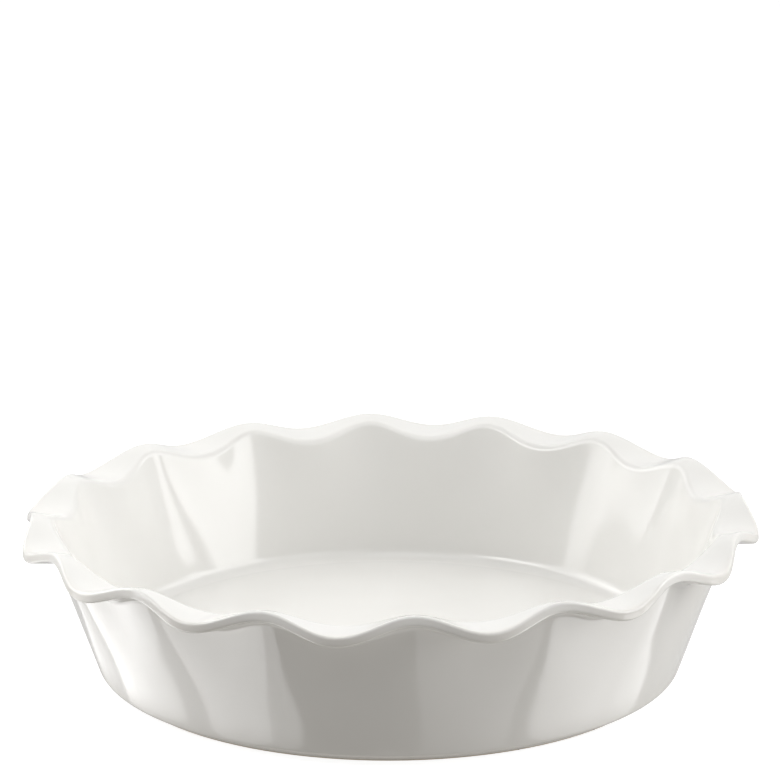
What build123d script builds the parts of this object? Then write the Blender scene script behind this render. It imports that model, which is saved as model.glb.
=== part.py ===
from build123d import *
import math
import os

# A round pie dish in glazed stoneware, with a ruffled rim and a low foot ring.
# Lengths are in millimetres and angles in degrees. +Z is up, and the origin is the centre of the
# face that the dish stands on. Angles round the dish start at -Y and turn towards +X.

# Overall form
overall_diameter = 264.0        # across the outermost points of the ruffle
overall_height = 60.0           # from the table to the crests of a level rim
wall_lean = 19.3                # of the straight wall, from the vertical
wall_thickness = 5.0
floor_thickness = 5.4

# Foot ring
foot_height = 2.6
foot_inset = 4.8                # from the wall's outer face in to the ring's outer edge
foot_width = 6.0
foot_edge_radius = 0.6          # rounding of the ring's two standing edges
foot_root_radius = 1.0          # rounding where the ring meets the underside

# Rounded corners of the body
base_corner_radius = 3.0        # outside, where the wall turns under
floor_corner_radius = 6.0       # inside, where the floor meets the wall

# Ruffled rim
ruffle_count = 16
ruffle_height = 6.0             # from a trough up to a crest
ruffle_reach = 4.0              # how much further out a trough stands than a crest
lip_thickness = 3.7
lip_edge_radius = 1.1           # rounding of the lip's two edges
flare_height = 8.2              # from the top of the straight wall, halfway up a ruffle, to the crests
flare_width = 10.37             # how far the ruffle reaches out past the straight wall's top
flare_outer_bend = 4.2          # radius of the hollow under the flare
flare_inner_bend = 3.5          # radius of the bend from the inner wall to the flare's top face
trough_slope = 3.0              # of the flare above the horizontal, in a trough
crest_slope = 15.0              # of the flare above the horizontal, on a crest
wall_ripple = 1.2               # how far the straight wall's top swings out under a crest
ripple_rise = 0.5               # share of the ruffled wall's height over which the ripple sets in
rim_out_of_level = 1.3          # how far the +X side stands above the middle, from firing

# Glaze
glaze_thickness = 0.4
glaze_line_height = 0.7         # the glaze ends this far above the table

# Fineness of the ruffled surface
join_tolerance = 0.0001         # within which the ruffled wall and the plain one meet
slope_step = 1.0                # height over which the wall's slope at its top is worked out
points_per_ruffle = 8
wall_steps = 6
bend_steps = 4
edge_steps = 4

# Sizes that follow from the ones above
lean = math.radians(wall_lean)
floor_height = foot_height + floor_thickness
ruffle_base_height = floor_height + floor_corner_radius
flare_base_height = overall_height - flare_height
flare_base_radius = overall_diameter / 2 - flare_width
wall_base_radius = flare_base_radius - (flare_base_height - foot_height) * math.tan(lean)
foot_radius = wall_base_radius - foot_inset
rim_radius = overall_diameter / 2 - ruffle_reach / 2
crest_tilt = math.radians(crest_slope)
lip_flat = lip_thickness / 2 - lip_edge_radius
lip_rise = lip_flat * math.cos(crest_tilt) + lip_edge_radius * (1 - math.sin(crest_tilt))
rim_height = overall_height - ruffle_height / 2 - lip_rise
ring_points = ruffle_count * points_per_ruffle


def outer_wall_radius(height):
    """Radius of the straight wall's outer face at a height."""
    return wall_base_radius + (height - foot_height) * math.tan(lean)


def middle_wall_radius(height):
    """Radius of the straight wall's middle line at a height."""
    return outer_wall_radius(height) - wall_thickness / 2 / math.cos(lean)


def inner_wall_radius(height):
    """Radius of the straight wall's inner face at a height."""
    return outer_wall_radius(height) - wall_thickness / math.cos(lean)


def ruffle_wave(angle):
    """1 in a trough of the ruffle, -1 on a crest."""
    return math.cos(ruffle_count * angle)


def firing_warp(angle, height):
    """Lift of a point from the rim's being out of level, which grows from the foot of the ruffle."""
    share = (height - ruffle_base_height) / (rim_height - ruffle_base_height)
    return rim_out_of_level * max(share, 0.0) * math.sin(angle)


def ruffled_wall_radius(height, angle, side, inset):
    """Radius of the ruffled wall at a height, on its outer side, 1, or its inner side, -1."""
    share = (height - ruffle_base_height) / (flare_base_height - ruffle_base_height)
    bulge = share - ripple_rise / 2 if share > ripple_rise else share**2 / (2 * ripple_rise)
    ripple = -wall_ripple * ruffle_wave(angle) * bulge / (1 - ripple_rise / 2)
    return middle_wall_radius(height) + (ripple + side * (wall_thickness / 2 - inset)) / math.cos(lean)


def flare_slope(angle):
    """Slope of the flare above the horizontal, in radians."""
    return math.radians((crest_slope + trough_slope - (crest_slope - trough_slope) * ruffle_wave(angle)) / 2)


def lip_middle(angle):
    """Radius and height of the middle of the lip's face."""
    wave = ruffle_wave(angle)
    return rim_radius + ruffle_reach / 2 * wave, rim_height - ruffle_height / 2 * wave


def bend(angle, side, inset):
    """Centre and radius of the bend from the wall to the flare, and the directions on both sides of it."""
    top = flare_base_height
    top_radius = ruffled_wall_radius(top, angle, side, inset)
    before = math.atan2(slope_step, ruffled_wall_radius(top + slope_step, angle, side, inset) - top_radius)
    after = flare_slope(angle)
    radius = flare_outer_bend + inset if side > 0 else flare_inner_bend - inset
    under = side * (lip_thickness / 2 - inset) + radius
    lip_r, lip_z = lip_middle(angle)
    flare_r, flare_z = lip_r + under * math.sin(after), lip_z - under * math.cos(after)
    wall_r, wall_z = top_radius + radius * math.sin(before), top - radius * math.cos(before)
    cross = (wall_r - flare_r) * math.sin(before) - (wall_z - flare_z) * math.cos(before)
    back = cross / math.sin(before - after)
    return flare_r + back * math.cos(after), flare_z + back * math.sin(after), radius, before, after


def wall_point(share, angle, side, inset):
    """Radius and height on the wall, a share of the way up from the plain wall to the bend."""
    _, centre_z, radius, before, _ = bend(angle, side, inset)
    height = ruffle_base_height + share * (centre_z + radius * math.cos(before) - ruffle_base_height)
    return ruffled_wall_radius(height, angle, side, inset), height


def bend_point(share, angle, side, inset):
    """Radius and height on the bend, a share of the way round it from the wall."""
    centre_r, centre_z, radius, before, after = bend(angle, side, inset)
    direction = before + (after - before) * share
    return centre_r - radius * math.sin(direction), centre_z + radius * math.cos(direction)


def lip_point(share, angle, side, inset):
    """Radius and height on the lip's rounded edge, a share of the way from the flare to its face."""
    slope = flare_slope(angle)
    edge = lip_edge_radius - inset
    turn = math.pi / 2 * share
    along = edge * math.sin(turn) - edge - inset
    across = side * (lip_thickness / 2 - inset - edge + edge * math.cos(turn))
    lip_r, lip_z = lip_middle(angle)
    radius = lip_r + along * math.cos(slope) + across * math.sin(slope)
    return radius, lip_z + along * math.sin(slope) - across * math.cos(slope)


def ring(point, *place):
    """Closed curve round the dish through one place of the wall's section."""
    points = []
    for index in range(ring_points):
        angle = 2 * math.pi * index / ring_points
        radius, height = point(place[0], angle, *place[1:])
        height += firing_warp(angle, height)
        points.append((radius * math.sin(angle), -radius * math.cos(angle), height))
    parameters = [float(index) for index in range(ring_points + 1)]
    return Wire([Edge.make_spline(points, periodic=True, parameters=parameters)])


def ruffled_side(side, inset):
    """Rings up the wall, round the bend and round the lip's edge, on one side, in three lists."""
    wall = [ring(wall_point, step / wall_steps, side, inset) for step in range(wall_steps)]
    turn = [ring(bend_point, step / bend_steps, side, inset) for step in range(bend_steps + 1)]
    edge = [ring(lip_point, step / edge_steps, side, inset) for step in range(edge_steps + 1)]
    return [*wall, turn[0]], turn, edge


def ruffled_skin(inset):
    """Faces up the outer wall, round the lip and down the inner wall, with their two end rings.

    Each stretch of the section is a surface of its own through evenly spaced rings.
    """
    outer_wall, outer_bend, outer_edge = ruffled_side(1, inset)
    inner_wall, inner_bend, inner_edge = ruffled_side(-1, inset)
    stretches = (
        outer_wall,
        outer_bend,
        [outer_bend[-1], outer_edge[0]],
        outer_edge,
        [outer_edge[-1], inner_edge[-1]],
        inner_edge[::-1],
        [inner_edge[0], inner_bend[-1]],
        inner_bend[::-1],
        inner_wall[::-1],
    )
    faces = [face for rings in stretches for face in Shell.make_loft(rings).faces()]
    return faces, outer_wall[0], inner_wall[0]


def closed_solid(faces):
    """Solid bounded by faces that meet edge to edge."""
    solid = Solid(Shell(faces))
    if solid.volume < 0:
        solid = Solid(-Shell(faces))
    return solid


def ruffled_wall(inset):
    """Upper wall and rim of the body, less the glaze's thickness."""
    skin, outer_ring, inner_ring = ruffled_skin(inset)
    return closed_solid([*skin, Face(outer_ring, [inner_ring])])


def ruffled_glaze():
    """Glaze on the upper wall and rim."""
    glaze_skin, glaze_outer, glaze_inner = ruffled_skin(0.0)
    clay_skin, clay_outer, clay_inner = ruffled_skin(glaze_thickness)
    outer_seam = Face(glaze_outer, [clay_outer])
    inner_seam = Face(clay_inner, [glaze_inner])
    return closed_solid([*glaze_skin, *clay_skin, outer_seam, inner_seam])


def rounded(section, corner, radius):
    """Section with the corner at a radius and height rounded."""
    vertex = min(section.vertices(), key=lambda point: math.hypot(point.X - corner[0], point.Z - corner[1]))
    return section.fillet_2d(radius, [vertex])


def lower_section(inset):
    """Half section of the foot ring, the floor and the lower wall, less the glaze's thickness."""
    underside = foot_height + inset
    floor = floor_height - inset
    wall_inset = inset / math.cos(lean)
    ring_inside = (foot_radius - foot_width + inset, underside)
    ring_outside = (foot_radius - inset, underside)
    wall_bottom = (outer_wall_radius(underside) - wall_inset, underside)
    wall_top = outer_wall_radius(ruffle_base_height) - wall_inset
    inner_top = inner_wall_radius(ruffle_base_height) + wall_inset
    floor_edge = (inner_wall_radius(floor) + wall_inset, floor)
    standing_edges = ((ring_inside[0], 0.0), (ring_outside[0], 0.0))
    corners = [
        (0.0, underside),
        ring_inside,
        *standing_edges,
        ring_outside,
        wall_bottom,
        (wall_top, ruffle_base_height),
        (inner_top, ruffle_base_height),
        floor_edge,
        (0.0, floor),
    ]
    section = Face(Wire.make_polygon([(radius, 0.0, height) for radius, height in corners]))
    for corner in standing_edges:
        section = rounded(section, corner, foot_edge_radius)
    for corner in (ring_inside, ring_outside):
        section = rounded(section, corner, foot_root_radius + inset)
    section = rounded(section, wall_bottom, base_corner_radius - inset)
    return rounded(section, floor_edge, floor_corner_radius + inset)


def turned(section):
    """Solid made by turning a half section about the dish's axis."""
    return Solid.revolve(section, 360.0, Axis.Z)


def glaze_sections():
    """Half sections of the lower glaze: inside the dish, outside it and under the floor."""
    wiped = Face.make_rect(2 * foot_radius, 2 * glaze_line_height, Plane.XZ)
    coat = lower_section(0.0) - lower_section(glaze_thickness) - wiped
    inside = max(coat.faces(), key=lambda face: face.bounding_box().min.Z)
    outside = max(coat.faces(), key=lambda face: face.bounding_box().max.X)
    underside = min(coat.faces(), key=lambda face: face.bounding_box().max.X)
    return inside, outside, underside


def clay_body():
    """The fired stoneware body, bare only on the foot ring's standing face."""
    lower = turned(lower_section(glaze_thickness))
    return lower.fuse(ruffled_wall(glaze_thickness), tol=join_tolerance)


def glaze_coat():
    """The glaze inside, over the rim and down the outside, to a line just above the table."""
    inside, outside, _ = glaze_sections()
    return ruffled_glaze().fuse(turned(inside), turned(outside), tol=join_tolerance)


def underside_glaze():
    """The glaze under the floor, ringed by the foot."""
    return turned(glaze_sections()[2])


os.makedirs("parts", exist_ok=True)
for make in (clay_body, glaze_coat, underside_glaze):
    solid = make()
    export_step(solid, f"parts/{make.__name__}.step")
    count = len(solid.solids())
    print(f"{make.__name__}: solids {count}, volume {solid.volume:.0f}, valid {solid.is_valid}")
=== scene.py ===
"""Looks of a round pie dish in glazed stoneware, with a ruffled rim, standing on a pale studio table.

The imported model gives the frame. The glaze that shows is a fine mesh worked out from the dish's own
sizes; the bare clay and the glaze under the floor keep their own meshes and get their finishes here.
Lengths are in metres and angles in degrees. Angles round the dish start at -Y and turn towards +X.
"""

import logging
import math
from dataclasses import dataclass, field
from enum import Enum

import bpy
from mathutils import Matrix, Vector


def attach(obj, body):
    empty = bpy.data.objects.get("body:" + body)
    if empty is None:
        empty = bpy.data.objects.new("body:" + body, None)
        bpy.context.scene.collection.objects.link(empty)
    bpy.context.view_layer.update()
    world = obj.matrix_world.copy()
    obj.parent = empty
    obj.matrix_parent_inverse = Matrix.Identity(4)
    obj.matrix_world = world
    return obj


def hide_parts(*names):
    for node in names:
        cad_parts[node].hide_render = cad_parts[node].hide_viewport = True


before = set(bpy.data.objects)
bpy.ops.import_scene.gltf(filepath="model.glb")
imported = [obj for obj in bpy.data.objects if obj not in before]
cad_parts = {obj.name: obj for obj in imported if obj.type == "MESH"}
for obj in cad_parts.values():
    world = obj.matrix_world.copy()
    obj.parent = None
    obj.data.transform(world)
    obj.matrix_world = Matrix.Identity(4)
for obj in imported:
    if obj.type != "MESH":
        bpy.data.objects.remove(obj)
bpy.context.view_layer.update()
LOG = logging.getLogger("pie_dish")

MM = 0.001
DEPTH_LAYER = "glaze_depth"
Point = tuple[float, float]
Span = tuple[float, float]
Colour = tuple[float, float, float, float]
WHITE: Colour = (1.0, 1.0, 1.0, 1.0)


class Face(Enum):
    """The two faces of the glaze coat."""

    SHOWING = "showing"
    FUSED = "fused"


class Slot(Enum):
    """The record's material slots."""

    CLAY = "bare_clay"
    GLAZE = "white_glaze"


@dataclass(frozen=True)
class DishForm:
    """Sizes of the dish, and the section that they give at any angle round it."""

    overall_diameter: float = 264.0 * MM
    overall_height: float = 60.0 * MM
    wall_lean: float = 19.3
    wall_thickness: float = 5.0 * MM
    floor_thickness: float = 5.4 * MM
    foot_height: float = 2.6 * MM
    foot_inset: float = 4.8 * MM
    foot_root_radius: float = 1.0 * MM
    base_corner_radius: float = 3.0 * MM
    floor_corner_radius: float = 6.0 * MM
    ruffle_count: int = 16
    ruffle_height: float = 6.0 * MM
    ruffle_reach: float = 4.0 * MM
    lip_thickness: float = 3.7 * MM
    lip_edge_radius: float = 1.1 * MM
    flare_height: float = 8.2 * MM
    flare_width: float = 10.37 * MM
    flare_outer_bend: float = 4.2 * MM
    flare_inner_bend: float = 3.5 * MM
    trough_slope: float = 3.0
    crest_slope: float = 15.0
    wall_ripple: float = 1.2 * MM
    ripple_rise: float = 0.5
    rim_out_of_level: float = 1.3 * MM
    glaze_thickness: float = 0.4 * MM
    glaze_line_height: float = 0.7 * MM
    slope_step: float = 1.0 * MM

    @property
    def lean(self) -> float:
        """Lean of the wall from the vertical, in radians."""
        return math.radians(self.wall_lean)

    @property
    def rim_height(self) -> float:
        """Height of the middle of the lip's face, halfway up a ruffle.

        Returns:
            The height, which puts the crests at the overall height.
        """
        slope = math.radians(self.crest_slope)
        edge = self.lip_edge_radius
        flat = (self.lip_thickness / 2 - edge) * math.cos(slope)
        return self.overall_height - self.ruffle_height / 2 - flat - edge * (1 - math.sin(slope))

    @property
    def rim_radius(self) -> float:
        """Radius of the middle of the lip's face, halfway up a ruffle."""
        return (self.overall_diameter - self.ruffle_reach) / 2

    @property
    def floor_height(self) -> float:
        """Height of the floor that food lies on."""
        return self.foot_height + self.floor_thickness

    @property
    def ruffle_base_height(self) -> float:
        """Height at which the wall starts to follow the ruffle."""
        return self.floor_height + self.floor_corner_radius

    @property
    def flare_base_height(self) -> float:
        """Height of the straight wall's top, halfway up a ruffle."""
        return self.overall_height - self.flare_height

    @property
    def wall_base_radius(self) -> float:
        """Outer radius of the wall, level with the top of the foot ring."""
        rise = self.flare_base_height - self.foot_height
        return self.overall_diameter / 2 - self.flare_width - rise * math.tan(self.lean)

    @property
    def foot_radius(self) -> float:
        """Outer radius of the foot ring."""
        return self.wall_base_radius - self.foot_inset

    def outer_wall_radius(self, height: float) -> float:
        """Radius of the straight wall's outer face at a height."""
        return self.wall_base_radius + (height - self.foot_height) * math.tan(self.lean)

    def inner_wall_radius(self, height: float) -> float:
        """Radius of the straight wall's inner face at a height."""
        return self.outer_wall_radius(height) - self.wall_thickness / math.cos(self.lean)

    def middle_wall_radius(self, height: float) -> float:
        """Radius of the straight wall's middle line at a height."""
        return (self.outer_wall_radius(height) + self.inner_wall_radius(height)) / 2

    def wave(self, angle: float) -> float:
        """1 in a trough of the ruffle, -1 on a crest."""
        return math.cos(self.ruffle_count * angle)

    def warp(self, angle: float, height: float) -> float:
        """Lift of a point from the rim's being out of level, from firing."""
        share = (height - self.ruffle_base_height) / (self.rim_height - self.ruffle_base_height)
        return self.rim_out_of_level * max(share, 0.0) * math.sin(angle)

    def lip_slope(self, angle: float) -> float:
        """Slope of the flare above the horizontal, in radians."""
        swing = (self.crest_slope - self.trough_slope) * self.wave(angle)
        return math.radians((self.crest_slope + self.trough_slope - swing) / 2)

    def lip_middle(self, angle: float) -> Point:
        """Radius and height of the middle of the lip's face.

        Args:
            angle: Angle round the dish, in radians.

        Returns:
            The radius and the height.
        """
        wave = self.wave(angle)
        radius = self.rim_radius + self.ruffle_reach / 2 * wave
        return radius, self.rim_height - self.ruffle_height / 2 * wave

    def wall_at(self, height: float, angle: float, side: float, inset: float) -> float:
        """Radius of the ruffled wall's face at a height.

        Args:
            height: Height above the table.
            angle: Angle round the dish, in radians.
            side: 1 on the outer side, -1 on the inner side.
            inset: Depth under the face that shows.

        Returns:
            The radius.
        """
        share = (height - self.ruffle_base_height) / (self.flare_base_height - self.ruffle_base_height)
        rise = self.ripple_rise
        bulge = share - rise / 2 if share > rise else share**2 / (2 * rise)
        ripple = -self.wall_ripple * self.wave(angle) * bulge / (1 - rise / 2)
        half = self.wall_thickness / 2 - inset
        return self.middle_wall_radius(height) + (ripple + side * half) / math.cos(self.lean)

    def bend(self, angle: float, side: float, inset: float) -> tuple[Point, float, float, float]:
        """Bend from the wall to the flare, on one side.

        Args:
            angle: Angle round the dish, in radians.
            side: 1 on the outer side, -1 on the inner side.
            inset: Depth under the face that shows.

        Returns:
            The bend's centre, its radius and the section's direction before and after it.
        """
        top = self.flare_base_height
        wall_radius = self.wall_at(top, angle, side, inset)
        reach = self.wall_at(top + self.slope_step, angle, side, inset) - wall_radius
        before = math.atan2(self.slope_step, reach)
        after = self.lip_slope(angle)
        radius = self.flare_outer_bend + inset if side > 0 else self.flare_inner_bend - inset
        half = side * (self.lip_thickness / 2 - inset) + radius
        middle = self.lip_middle(angle)
        flare = (middle[0] + half * math.sin(after), middle[1] - half * math.cos(after))
        wall = (wall_radius + radius * math.sin(before), top - radius * math.cos(before))
        apart = (wall[0] - flare[0], wall[1] - flare[1])
        back = (apart[0] * math.sin(before) - apart[1] * math.cos(before)) / math.sin(before - after)
        centre = (flare[0] + back * math.cos(after), flare[1] + back * math.sin(after))
        return centre, radius, before, after

    def wall_point(self, share: float, angle: float, side: float, inset: float) -> Point:
        """Place on the ruffled wall, between the plain wall below and the bend above.

        Args:
            share: Share of the way up, from 0 to 1.
            angle: Angle round the dish, in radians.
            side: 1 on the outer side, -1 on the inner side.
            inset: Depth under the face that shows.

        Returns:
            The radius and the height.
        """
        centre, radius, before, _ = self.bend(angle, side, inset)
        top = centre[1] + radius * math.cos(before)
        height = self.ruffle_base_height + share * (top - self.ruffle_base_height)
        return self.wall_at(height, angle, side, inset), height

    def bend_point(self, share: float, angle: float, side: float, inset: float) -> Point:
        """Place on the bend, between the wall and the flare.

        Args:
            share: Share of the way round the bend, from 0 to 1.
            angle: Angle round the dish, in radians.
            side: 1 on the outer side, -1 on the inner side.
            inset: Depth under the face that shows.

        Returns:
            The radius and the height.
        """
        centre, radius, before, after = self.bend(angle, side, inset)
        direction = before + (after - before) * share
        return centre[0] - radius * math.sin(direction), centre[1] + radius * math.cos(direction)

    def lip_point(self, share: float, angle: float, side: float, inset: float) -> Point:
        """Place on the lip's rounded edge, between the flare and the lip's face.

        Args:
            share: Share of the way round the edge, from 0 to 1.
            angle: Angle round the dish, in radians.
            side: 1 on the outer side, -1 on the inner side.
            inset: Depth under the face that shows.

        Returns:
            The radius and the height.
        """
        slope = self.lip_slope(angle)
        edge = self.lip_edge_radius - inset
        turn = math.pi / 2 * share
        along = edge * math.sin(turn) - edge - inset
        across = side * (self.lip_thickness / 2 - inset - edge + edge * math.cos(turn))
        middle = self.lip_middle(angle)
        return (
            middle[0] + along * math.cos(slope) + across * math.sin(slope),
            middle[1] + along * math.sin(slope) - across * math.cos(slope),
        )


def shares(steps: int, ends: tuple[bool, bool] = (True, False)) -> list[float]:
    """Evenly spaced shares from 0 to 1.

    Args:
        steps: Number of steps.
        ends: Whether 0 and 1 are in the list.

    Returns:
        The shares.
    """
    first = 0 if ends[0] else 1
    last = steps + 1 if ends[1] else steps
    return [step / steps for step in range(first, last)]


def between(first: Point, last: Point, steps: int) -> list[Point]:
    """Points on a straight stretch, without its ends.

    Args:
        first: Radius and height of one end.
        last: Radius and height of the other end.
        steps: Number of steps.

    Returns:
        The points.
    """
    return [
        (first[0] + share * (last[0] - first[0]), first[1] + share * (last[1] - first[1]))
        for share in shares(steps, (False, False))
    ]


def arc(centre: Point, radius: float, start: float, end: float, steps: int) -> list[Point]:
    """Points along an arc of the section.

    Args:
        centre: Radius and height of the arc's centre.
        radius: The arc's radius.
        start: Direction of its first point from the centre, in degrees.
        end: Direction of its last point.
        steps: Number of steps.

    Returns:
        The points, both ends among them.
    """
    points = []
    for share in shares(steps, (True, True)):
        direction = math.radians(start + (end - start) * share)
        points.append((centre[0] + radius * math.cos(direction), centre[1] + radius * math.sin(direction)))
    return points


@dataclass
class GlazeSection:
    """Line of one face of the glaze in section, from the foot ring over the rim to the floor's centre."""

    form: DishForm
    face: Face
    corner_steps: int = 8
    low_wall_steps: int = 4
    wall_steps: int = 18
    bend_steps: int = 12
    flare_steps: int = 6
    edge_steps: int = 8
    face_steps: int = 2
    floor_steps: int = 8

    @property
    def inset(self) -> float:
        """Depth under the face that shows."""
        return 0.0 if self.face is Face.SHOWING else self.form.glaze_thickness

    def foot_and_corner(self) -> list[Point]:
        """Up the foot ring's side, out under the wall and round the base corner.

        Returns:
            The points, from the glaze line on.
        """
        form, inset = self.form, self.inset
        underside = form.foot_height + inset
        side = form.foot_radius - inset
        root = form.foot_root_radius + inset
        corner = form.base_corner_radius - inset
        corner_z = underside + corner
        corner_r = form.outer_wall_radius(corner_z) - (inset + corner) / math.cos(form.lean)
        points = [(side, form.glaze_line_height)]
        points += arc((side + root, underside - root), root, 180.0, 90.0, self.corner_steps)
        points += arc((corner_r, corner_z), corner, -90.0, -form.wall_lean, self.corner_steps)
        return points

    def floor_corner(self) -> list[Point]:
        """Round the corner from the inner wall to the floor.

        Returns:
            The points, from the top down.
        """
        form = self.form
        corner = form.floor_corner_radius + self.inset
        corner_z = form.floor_height - self.inset + corner
        corner_r = form.inner_wall_radius(corner_z) + (self.inset - corner) / math.cos(form.lean)
        return arc((corner_r, corner_z), corner, -form.wall_lean, -90.0, 2 * self.corner_steps)

    def upper_half(self, angle: float, side: float) -> list[Point]:
        """Wall, bend, flare and edge of the lip on one side, from the bottom up.

        Args:
            angle: Angle round the dish, in radians.
            side: 1 on the outer side, -1 on the inner side.

        Returns:
            The points, both ends among them.
        """
        form, inset = self.form, self.inset
        up_wall = shares(self.wall_steps)
        round_bend = shares(self.bend_steps, (True, True))
        round_edge = shares(self.edge_steps, (True, True))
        line = [form.wall_point(share, angle, side, inset) for share in up_wall]
        line += [form.bend_point(share, angle, side, inset) for share in round_bend]
        edge = [form.lip_point(share, angle, side, inset) for share in round_edge]
        return line + between(line[-1], edge[0], self.flare_steps) + edge

    def points(self, angle: float) -> list[Point]:
        """The whole line at an angle, without the floor's centre.

        Args:
            angle: Angle round the dish, in radians.

        Returns:
            The points, from the foot ring to the floor.
        """
        foot = self.foot_and_corner()
        corner = self.floor_corner()
        outer = self.upper_half(angle, 1.0)
        inner = self.upper_half(angle, -1.0)[::-1]
        line = foot + between(foot[-1], outer[0], self.low_wall_steps) + outer
        line += between(outer[-1], inner[0], self.face_steps) + inner
        line += between(inner[-1], corner[0], self.low_wall_steps) + corner
        return line + between(corner[-1], (0.0, corner[-1][1]), self.floor_steps)


@dataclass
class GlazeCoat:
    """The glaze inside, over the rim and down the outside, as one closed skin."""

    form: DishForm
    steps_per_ruffle: int = 22
    name: str = "glaze_coat_skin"
    node: str = "glaze_coat"
    lip_reach: float = 2.2 * MM

    def rings(self, face: Face) -> list[list[Vector]]:
        """Rings of places round the dish, one for each point of the section's line.

        Args:
            face: The face of the glaze that they lie on.

        Returns:
            The rings, in the order of the line.
        """
        section = GlazeSection(self.form, face)
        count = self.form.ruffle_count * self.steps_per_ruffle
        columns = []
        for index in range(count):
            angle = 2 * math.pi * index / count
            column = []
            for radius, height in section.points(angle):
                lift = self.form.warp(angle, height)
                column.append(Vector((radius * math.sin(angle), -radius * math.cos(angle), height + lift)))
            columns.append(column)
        return [list(ring) for ring in zip(*columns)]

    def depth(self, place: Vector) -> float:
        """How deep the glaze lies: 0 where it runs thin over the lip, 1 away from it."""
        start = self.form.rim_radius + self.lip_reach
        return min(max((start - math.hypot(place.x, place.y)) / (2 * self.lip_reach), 0.0), 1.0)

    def bands(self, loops: int, count: int) -> list[tuple[int, ...]]:
        """Faces between each ring and the next.

        Args:
            loops: Number of rings.
            count: Number of places on a ring.

        Returns:
            The faces, as numbers of places.
        """
        faces = []
        for row in range(loops - 1):
            start, above = row * count, (row + 1) * count
            for index in range(count):
                after = (index + 1) % count
                faces.append((start + index, start + after, above + after, above + index))
        return faces

    def build(self) -> bpy.types.Object:
        """Makes the skin's mesh and puts it in the scene.

        Returns:
            The skin.
        """
        loops = self.rings(Face.FUSED)[::-1] + self.rings(Face.SHOWING)
        count = len(loops[0])
        places = [place for loop in loops for place in loop]
        faces = self.bands(len(loops), count)
        for ring_start, flip in ((0, False), ((len(loops) - 1) * count, True)):
            centre = len(places)
            places.append(Vector((0.0, 0.0, places[ring_start].z)))
            for index in range(count):
                pair = (ring_start + index, ring_start + (index + 1) % count)
                faces.append((*pair, centre) if flip else (*pair[::-1], centre))
        mesh = bpy.data.meshes.new(self.name)
        mesh.from_pydata([tuple(place) for place in places], [], faces)
        mesh.polygons.foreach_set("use_smooth", [True] * len(mesh.polygons))
        layer = mesh.attributes.new(DEPTH_LAYER, "FLOAT", "POINT")
        layer.data.foreach_set("value", [self.depth(place) for place in places])
        mesh.update()
        skin = bpy.data.objects.new(self.name, mesh)
        bpy.context.scene.collection.objects.link(skin)
        return skin

    def place(self, material: bpy.types.Material) -> bpy.types.Object:
        """Builds the skin, dresses it and lets it stand for its node.

        Args:
            material: The glaze's finish.

        Returns:
            The skin.
        """
        skin = self.build()
        skin.data.materials.append(material)
        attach(skin, "root")
        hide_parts(self.node)
        return skin


class ShaderTree:
    """Short ways to add and join nodes in a material, a world or a node group."""

    def __init__(self, tree: bpy.types.NodeTree) -> None:
        """Holds the tree that the nodes go into."""
        self.tree = tree

    def add(self, kind: str, **settings: object) -> bpy.types.Node:
        """Adds a node of a kind.

        Args:
            kind: The node's type name.
            settings: Its own properties.

        Returns:
            The node.
        """
        node = self.tree.nodes.new(kind)
        for name, value in settings.items():
            setattr(node, name, value)
        return node

    def join(self, source: bpy.types.NodeSocket, target: bpy.types.NodeSocket) -> None:
        """Links an output to an input."""
        self.tree.links.new(source, target)

    def place(self, kind: str = "Object") -> bpy.types.NodeSocket:
        """The place on a surface, or the direction in a world, as a texture reads it."""
        return self.add("ShaderNodeTexCoord").outputs[kind]

    def math(self, operation: str, first: object, second: object) -> bpy.types.NodeSocket:
        """Result of a sum.

        Args:
            operation: The sum's name.
            first: A socket or a number.
            second: A socket or a number.

        Returns:
            The result.
        """
        node = self.add("ShaderNodeMath", operation=operation)
        for index, value in enumerate((first, second)):
            if isinstance(value, bpy.types.NodeSocket):
                self.join(value, node.inputs[index])
            else:
                node.inputs[index].default_value = value
        return node.outputs[0]

    def noise(self, scale: bpy.types.NodeSocket, detail: float) -> bpy.types.NodeSocket:
        """Value of a noise texture at a place on the object.

        Args:
            scale: The noise's scale.
            detail: Its number of finer layers.

        Returns:
            The value.
        """
        node = self.add("ShaderNodeTexNoise")
        node.inputs["Detail"].default_value = detail
        self.join(scale, node.inputs["Scale"])
        self.join(self.place(), node.inputs["Vector"])
        return node.outputs["Fac"]

    def along(self, place: bpy.types.NodeSocket, direction: Vector) -> bpy.types.NodeSocket:
        """How far a place lies along a direction.

        Args:
            place: The place.
            direction: The direction, of length 1.

        Returns:
            The distance.
        """
        node = self.add("ShaderNodeVectorMath", operation="DOT_PRODUCT")
        self.join(place, node.inputs[0])
        node.inputs[1].default_value = direction
        return node.outputs["Value"]

    def ramp(self, value: bpy.types.NodeSocket, reach: Span, ends: Span) -> bpy.types.NodeSocket:
        """Smooth change from one number to another as a value grows.

        Args:
            value: The value.
            reach: The values at which the change starts and ends.
            ends: The numbers before and after it.

        Returns:
            The number.
        """
        node = self.add("ShaderNodeMapRange", interpolation_type="SMOOTHSTEP")
        self.join(value, node.inputs["Value"])
        for name, number in zip(("From Min", "From Max", "To Min", "To Max"), (*reach, *ends)):
            node.inputs[name].default_value = number
        return node.outputs["Result"]

    def tone(self, share: bpy.types.NodeSocket, first: object, second: Colour) -> bpy.types.NodeSocket:
        """Colour between two others.

        Args:
            share: Share of the second colour.
            first: The first colour, or a socket that gives it.
            second: The second colour.

        Returns:
            The colour.
        """
        node = self.add("ShaderNodeMix", data_type="RGBA")
        self.join(share, node.inputs["Factor"])
        if isinstance(first, bpy.types.NodeSocket):
            self.join(first, node.inputs["A"])
        else:
            node.inputs["A"].default_value = first
        node.inputs["B"].default_value = second
        return node.outputs["Result"]


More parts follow.
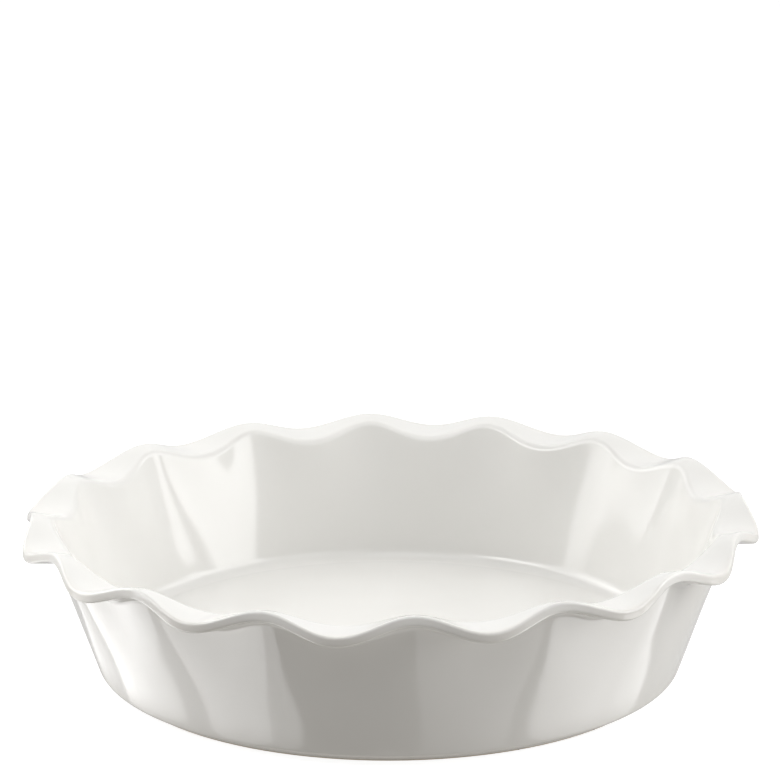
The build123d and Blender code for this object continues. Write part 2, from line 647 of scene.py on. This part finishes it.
def group_instance(tree: ShaderTree, name: str, **values: float) -> bpy.types.Node:
    """Places a node group in a material.

    Args:
        tree: The material's nodes.
        name: The group's name.
        values: Its inputs' values, with underscores for the spaces in their names.

    Returns:
        The group's node.
    """
    node = tree.add("ShaderNodeGroup", node_tree=bpy.data.node_groups[name])
    for key, value in values.items():
        node.inputs[key.replace("_", " ").capitalize()].default_value = value
    return node


def new_group(name: str, inputs: tuple[str, ...], outputs: tuple[str, ...]) -> ShaderTree:
    """Makes an empty node group.

    Args:
        name: The group's name.
        inputs: Names of the numbers that go in.
        outputs: Names of the numbers that come out.

    Returns:
        The group's nodes.
    """
    group = bpy.data.node_groups.new(name, "ShaderNodeTree")
    for side, names in (("INPUT", inputs), ("OUTPUT", outputs)):
        for socket in names:
            group.interface.new_socket(socket, in_out=side, socket_type="NodeSocketFloat")
    return ShaderTree(group)


@dataclass(frozen=True)
class FiredUnevenness:
    """Node group: the slow unevenness and fine grain that firing leaves in a surface."""

    name: str = "fired_unevenness"
    slow_detail: float = 1.0
    grain_detail: float = 3.0

    def build(self) -> None:
        """Makes the group, which puts out a height and a mask of the same slow pattern."""
        inputs = ("Slow scale", "Slow height", "Grain scale", "Grain height")
        tree = new_group(self.name, inputs, ("Height", "Cloud"))
        inside = tree.add("NodeGroupInput")
        out = tree.add("NodeGroupOutput")
        slow = tree.noise(inside.outputs["Slow scale"], self.slow_detail)
        grain = tree.noise(inside.outputs["Grain scale"], self.grain_detail)
        slow_height = tree.math("MULTIPLY", slow, inside.outputs["Slow height"])
        grain_height = tree.math("MULTIPLY", grain, inside.outputs["Grain height"])
        tree.join(tree.math("ADD", slow_height, grain_height), out.inputs["Height"])
        tree.join(slow, out.inputs["Cloud"])


@dataclass(frozen=True)
class KilnSpecks:
    """Node group: small specks and pinholes, a few millimetres to centimetres apart."""

    name: str = "kiln_specks"

    def build(self) -> None:
        """Makes the group, which puts out a mask that is 1 in a speck."""
        tree = new_group(self.name, ("Scale", "Size", "Share"), ("Mask",))
        inside = tree.add("NodeGroupInput")
        out = tree.add("NodeGroupOutput")
        cells = tree.add("ShaderNodeTexVoronoi")
        tree.join(tree.place(), cells.inputs["Vector"])
        tree.join(inside.outputs["Scale"], cells.inputs["Scale"])
        near = tree.math("LESS_THAN", cells.outputs["Distance"], inside.outputs["Size"])
        split = tree.add("ShaderNodeSeparateColor")
        tree.join(cells.outputs["Color"], split.inputs["Color"])
        chosen = tree.math("LESS_THAN", split.outputs["Red"], inside.outputs["Share"])
        tree.join(tree.math("MULTIPLY", near, chosen), out.inputs["Mask"])


@dataclass(frozen=True)
class FiredFinish:
    """What the glaze and the bare clay share: two tones, slow unevenness, fine grain and small specks."""

    name: str
    first_colour: Colour
    second_colour: Colour
    speck_colour: Colour
    roughness: float
    slow_scale: float
    slow_height: float
    grain_scale: float
    grain_height: float
    speck_scale: float
    speck_size: float
    speck_share: float
    bump_distance: float = 1.0 * MM

    def plain(self) -> tuple[bpy.types.Material, ShaderTree, bpy.types.Node]:
        """Makes the plain material.

        Returns:
            The material, its nodes, and the one for its surface.
        """
        material = bpy.data.materials.new(self.name)
        material.use_nodes = True
        return material, ShaderTree(material.node_tree), material.node_tree.nodes["Principled BSDF"]

    def uneven(self, tree: ShaderTree, surface: bpy.types.Node) -> bpy.types.NodeSocket:
        """Raises and sinks the surface a little.

        Args:
            tree: The material's nodes.
            surface: The one for its surface.

        Returns:
            The mask of the slow pattern.
        """
        group = group_instance(
            tree,
            FiredUnevenness.name,
            slow_scale=self.slow_scale,
            slow_height=self.slow_height,
            grain_scale=self.grain_scale,
            grain_height=self.grain_height,
        )
        bump = tree.add("ShaderNodeBump")
        bump.inputs["Distance"].default_value = self.bump_distance
        tree.join(group.outputs["Height"], bump.inputs["Height"])
        tree.join(bump.outputs["Normal"], surface.inputs["Normal"])
        return group.outputs["Cloud"]

    def colour(self, tree: ShaderTree, surface: bpy.types.Node, share: bpy.types.NodeSocket) -> None:
        """Colours the surface in its two tones, with the specks over both.

        Args:
            tree: The material's nodes.
            surface: The one for its surface.
            share: Share of the second tone.
        """
        specks = group_instance(
            tree, KilnSpecks.name, scale=self.speck_scale, size=self.speck_size, share=self.speck_share
        )
        unmarked = tree.tone(share, self.first_colour, self.second_colour)
        marked = tree.tone(specks.outputs["Mask"], unmarked, self.speck_colour)
        tree.join(marked, surface.inputs["Base Color"])


@dataclass(frozen=True)
class GlazeFinish(FiredFinish):
    """Glossy warm white glaze: thinner over the lip, clouded a little, with rare pinholes."""

    name: str = Slot.GLAZE.value
    first_colour: Colour = (0.81, 0.79, 0.75, 1.0)
    second_colour: Colour = (0.84, 0.83, 0.80, 1.0)
    speck_colour: Colour = (0.45, 0.40, 0.34, 1.0)
    roughness: float = 0.07
    slow_scale: float = 26.0
    slow_height: float = 0.35
    grain_scale: float = 900.0
    grain_height: float = 0.01
    speck_scale: float = 120.0
    speck_size: float = 0.03
    speck_share: float = 0.03
    roughness_swing: float = 0.05
    ior: float = 1.52

    def build(self) -> bpy.types.Material:
        """Makes the material.

        Returns:
            The material.
        """
        material, tree, surface = self.plain()
        surface.inputs["IOR"].default_value = self.ior
        cloud = self.uneven(tree, surface)
        swing = tree.math("MULTIPLY", cloud, self.roughness_swing)
        tree.join(tree.math("ADD", swing, self.roughness), surface.inputs["Roughness"])
        depth = tree.add("ShaderNodeAttribute", attribute_name=DEPTH_LAYER)
        self.colour(tree, surface, depth.outputs["Fac"])
        return material


@dataclass(frozen=True)
class ClayFinish(FiredFinish):
    """Bare fired clay of the foot: matt, pale buff, fine grained and lightly specked."""

    name: str = Slot.CLAY.value
    first_colour: Colour = (0.60, 0.52, 0.42, 1.0)
    second_colour: Colour = (0.72, 0.65, 0.55, 1.0)
    speck_colour: Colour = (0.22, 0.17, 0.12, 1.0)
    roughness: float = 0.78
    slow_scale: float = 60.0
    slow_height: float = 0.1
    grain_scale: float = 2400.0
    grain_height: float = 0.08
    speck_scale: float = 420.0
    speck_size: float = 0.18
    speck_share: float = 0.12

    def build(self) -> bpy.types.Material:
        """Makes the material.

        Returns:
            The material.
        """
        material, tree, surface = self.plain()
        surface.inputs["Roughness"].default_value = self.roughness
        self.colour(tree, surface, self.uneven(tree, surface))
        return material


@dataclass(frozen=True)
class SoftPanel:
    """One soft lamp. Places are from the dish's centre: right of the camera's line, away from it, up."""

    name: str
    centre: tuple[float, float, float]
    facing: tuple[float, float, float]
    width: float
    length: float
    glow: float

    def place(self, turn: Matrix) -> None:
        """Puts the lamp in the scene.

        Args:
            turn: Turn that brings the camera's line to its place round the dish.
        """
        lamp = bpy.data.lights.new(self.name, "AREA")
        lamp.shape = "RECTANGLE"
        lamp.size, lamp.size_y = self.width, self.length
        lamp.energy = self.glow * math.pi * self.width * self.length
        holder = bpy.data.objects.new(self.name, lamp)
        aim = Vector(self.facing).to_track_quat("-Z", "Y").to_matrix().to_4x4()
        holder.matrix_world = turn @ Matrix.Translation(self.centre) @ aim
        holder.visible_camera = False
        bpy.context.scene.collection.objects.link(holder)


@dataclass
class Studio:
    """Pale table, white surround, soft lamps and the camera of the photograph."""

    camera_angle: float = 7.58
    camera_distance: float = 1.1614
    camera_aside: float = 0.0004
    camera_height: float = 0.4060
    camera_pitch: float = 14.65
    camera_lens: float = 156.0
    camera_clip: Span = (0.05, 100.0)
    sensor_width: float = 36.0
    table_size: float = 12.0
    table_colour: Colour = (0.16, 0.16, 0.16, 1.0)
    table_light: Colour = (0.46, 0.442, 0.418, 1.0)
    table_front_share: float = 0.72
    table_shade_reach: Span = (-0.45, 0.15)
    table_seen_colour: Colour = (0.35, 0.35, 0.35, 1.0)
    table_glow: float = 0.86
    table_gloss: float = 0.85
    table_roughness: float = 0.03
    dish_base: float = 0.108
    base_blend: float = 8.0 * MM
    front_ambient: float = 0.05
    back_ambient: float = 0.78
    ambient_reach: Span = (-0.4, 0.8)
    ambient_turn: float = -20.0
    lamps: list[SoftPanel] = field(
        default_factory=lambda: [
            SoftPanel("left_bank", (-1.28, 0.21, 0.81), (0.0, 0.0, -1.0), 1.44, 1.48, 2.4),
            SoftPanel("left_bank_back", (-1.28, 1.35, 0.81), (0.0, 0.0, -1.0), 1.44, 0.8, 1.3),
            SoftPanel("left_bank_core", (-1.08, 0.52, 0.8), (0.0, 0.0, -1.0), 0.4, 0.8, 2.2),
            SoftPanel("left_bank_edge", (-0.66, -0.31, 0.8), (0.0, 0.0, -1.0), 0.5, 0.48, 2.8),
            SoftPanel("left_panel", (-1.1, 0.14, 0.265), (1.0, 0.0, 0.0), 0.66, 0.37, 2.5),
            SoftPanel("right_panel", (0.85, -0.185, 0.75), (-1.0, 0.0, 0.0), 0.63, 0.6, 3.4),
            SoftPanel("right_panel_far", (0.85, 0.35, 0.71), (-1.0, 0.0, 0.0), 0.44, 0.52, 2.6),
            SoftPanel("right_strip_near", (0.85, -0.3, 0.275), (-1.0, 0.0, 0.0), 0.4, 0.35, 4.0),
            SoftPanel("right_strip_far", (0.85, 0.075, 0.275), (-1.0, 0.0, 0.0), 0.15, 0.35, 3.0),
            SoftPanel("front_panel", (0.387, -0.513, 0.766), (-0.387, 0.513, -0.766), 0.45, 0.4, 1.2),
            SoftPanel("overhead", (-0.2, -0.35, 1.5), (0.2, 0.35, -1.5), 0.9, 0.7, 1.4),
        ]
    )

    @property
    def turn(self) -> Matrix:
        """Turn that brings the camera's line from -Y to its place round the dish."""
        return Matrix.Rotation(math.radians(self.camera_angle), 4, "Z")

    def away(self, further: float = 0.0) -> Vector:
        """Level direction away from the camera, turned further by some degrees."""
        return self.turn @ (Matrix.Rotation(math.radians(further), 4, "Z") @ Vector((0.0, 1.0, 0.0)))

    def place_camera(self) -> None:
        """Puts the camera where the photograph was taken from."""
        scene = bpy.context.scene
        data = bpy.data.cameras.new("photo_camera")
        data.lens, data.sensor_width = self.camera_lens, self.sensor_width
        data.clip_start, data.clip_end = self.camera_clip
        camera = bpy.data.objects.new("photo_camera", data)
        place = Matrix.Translation((self.camera_aside, -self.camera_distance, self.camera_height))
        tilt = Matrix.Rotation(math.radians(90.0 - self.camera_pitch), 4, "X")
        camera.matrix_world = self.turn @ place @ tilt
        scene.collection.objects.link(camera)
        scene.camera = camera

    def table_share(self, tree: ShaderTree) -> bpy.types.NodeSocket:
        """Share of the table's light at a place on it, which falls in the shade in front of the dish."""
        aside = tree.along(tree.place(), self.away())
        return tree.ramp(aside, self.table_shade_reach, (self.table_front_share, 1.0))

    def table_mirror(self, tree: ShaderTree) -> bpy.types.NodeSocket:
        """Mirror share of the table at a place on it, none close in, where the dish stands.

        Args:
            tree: The table's nodes.

        Returns:
            The share.
        """
        apart = tree.add("ShaderNodeVectorMath", operation="LENGTH")
        tree.join(tree.place(), apart.inputs[0])
        reach = (self.dish_base - self.base_blend, self.dish_base + self.base_blend)
        return tree.ramp(apart.outputs["Value"], reach, (0.0, self.table_gloss))

    def table_to_dish(self, tree: ShaderTree, path: bpy.types.Node) -> bpy.types.NodeSocket:
        """The table as it lights the dish and as the glaze mirrors it.

        Args:
            tree: The table's nodes.
            path: The node that tells what kind of ray looks.

        Returns:
            The shader.
        """
        matt = tree.add("ShaderNodeBsdfDiffuse")
        matt.inputs["Color"].default_value = self.table_colour
        light = tree.add("ShaderNodeEmission")
        light.inputs["Color"].default_value = self.table_light
        tree.join(self.table_share(tree), light.inputs["Strength"])
        lit = tree.add("ShaderNodeAddShader")
        tree.join(matt.outputs["BSDF"], lit.inputs[0])
        tree.join(light.outputs["Emission"], lit.inputs[1])
        shine = tree.add("ShaderNodeBsdfGlossy")
        shine.inputs["Roughness"].default_value = self.table_roughness
        mirror = tree.math("MULTIPLY", path.outputs["Is Glossy Ray"], self.table_mirror(tree))
        mirrored = tree.add("ShaderNodeMixShader")
        tree.join(mirror, mirrored.inputs["Fac"])
        tree.join(lit.outputs["Shader"], mirrored.inputs[1])
        tree.join(shine.outputs["BSDF"], mirrored.inputs[2])
        return mirrored.outputs["Shader"]

    def table_to_camera(self, tree: ShaderTree) -> bpy.types.NodeSocket:
        """The table as the camera sees it: white but for the dish's shadow.

        Args:
            tree: The table's nodes.

        Returns:
            The shader.
        """
        pale = tree.add("ShaderNodeBsdfDiffuse")
        pale.inputs["Color"].default_value = self.table_seen_colour
        glow = tree.add("ShaderNodeEmission")
        glow.inputs["Strength"].default_value = self.table_glow
        seen = tree.add("ShaderNodeAddShader")
        tree.join(pale.outputs["BSDF"], seen.inputs[0])
        tree.join(glow.outputs["Emission"], seen.inputs[1])
        return seen.outputs["Shader"]

    def table_material(self) -> bpy.types.Material:
        """Makes the table's material.

        Returns:
            The material.
        """
        material = bpy.data.materials.new("white_table")
        material.use_nodes = True
        nodes = material.node_tree.nodes
        nodes.remove(nodes["Principled BSDF"])
        tree = ShaderTree(material.node_tree)
        path = tree.add("ShaderNodeLightPath")
        both = tree.add("ShaderNodeMixShader")
        tree.join(path.outputs["Is Camera Ray"], both.inputs["Fac"])
        tree.join(self.table_to_dish(tree, path), both.inputs[1])
        tree.join(self.table_to_camera(tree), both.inputs[2])
        tree.join(both.outputs["Shader"], nodes["Material Output"].inputs["Surface"])
        return material

    def place_table(self) -> None:
        """Lays the table that the dish stands on."""
        mesh = bpy.data.meshes.new("table")
        half = self.table_size / 2
        corners = [(-half, -half, 0.0), (half, -half, 0.0), (half, half, 0.0), (-half, half, 0.0)]
        mesh.from_pydata(corners, [], [(0, 1, 2, 3)])
        mesh.materials.append(self.table_material())
        table = bpy.data.objects.new("table", mesh)
        bpy.context.scene.collection.objects.link(table)

    def light_surround(self) -> None:
        """Makes the surround white to the camera and a soft grey room, darker in front, to the dish."""
        world = bpy.data.worlds.new("studio")
        bpy.context.scene.world = world
        world.use_nodes = True
        tree = ShaderTree(world.node_tree)
        background = world.node_tree.nodes["Background"]
        background.inputs["Color"].default_value = WHITE
        aside = tree.along(tree.place("Generated"), self.away(self.ambient_turn))
        room = tree.ramp(aside, self.ambient_reach, (self.front_ambient, self.back_ambient))
        path = tree.add("ShaderNodeLightPath")
        strength = tree.add("ShaderNodeMix", data_type="FLOAT")
        tree.join(path.outputs["Is Camera Ray"], strength.inputs["Factor"])
        tree.join(room, strength.inputs["A"])
        strength.inputs["B"].default_value = 1.0
        tree.join(strength.outputs["Result"], background.inputs["Strength"])

    def set_up(self) -> None:
        """Sets up table, surround, lamps, camera and view."""
        self.place_table()
        self.light_surround()
        for lamp in self.lamps:
            lamp.place(self.turn)
        self.place_camera()
        bpy.context.scene.view_settings.view_transform = "Standard"


def dress_node(node: str, material: bpy.types.Material) -> None:
    """Gives a node of the frame its finish.

    Args:
        node: The node's name.
        material: The finish.
    """
    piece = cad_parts[node]
    for slot in piece.material_slots:
        slot.material = material
    LOG.info("dressed %s", node)


def main() -> None:
    """Builds the finishes, the dish and the studio in order."""
    logging.basicConfig(level=logging.INFO, format="%(name)s: %(message)s")
    FiredUnevenness().build()
    KilnSpecks().build()
    glaze = GlazeFinish().build()
    clay = ClayFinish().build()
    skin = GlazeCoat(DishForm()).place(glaze)
    LOG.info("built %s with %d faces", skin.name, len(skin.data.polygons))
    dress_node("underside_glaze", glaze)
    dress_node("clay_body", clay)
    Studio().set_up()


if __name__ == "__main__":
    main()
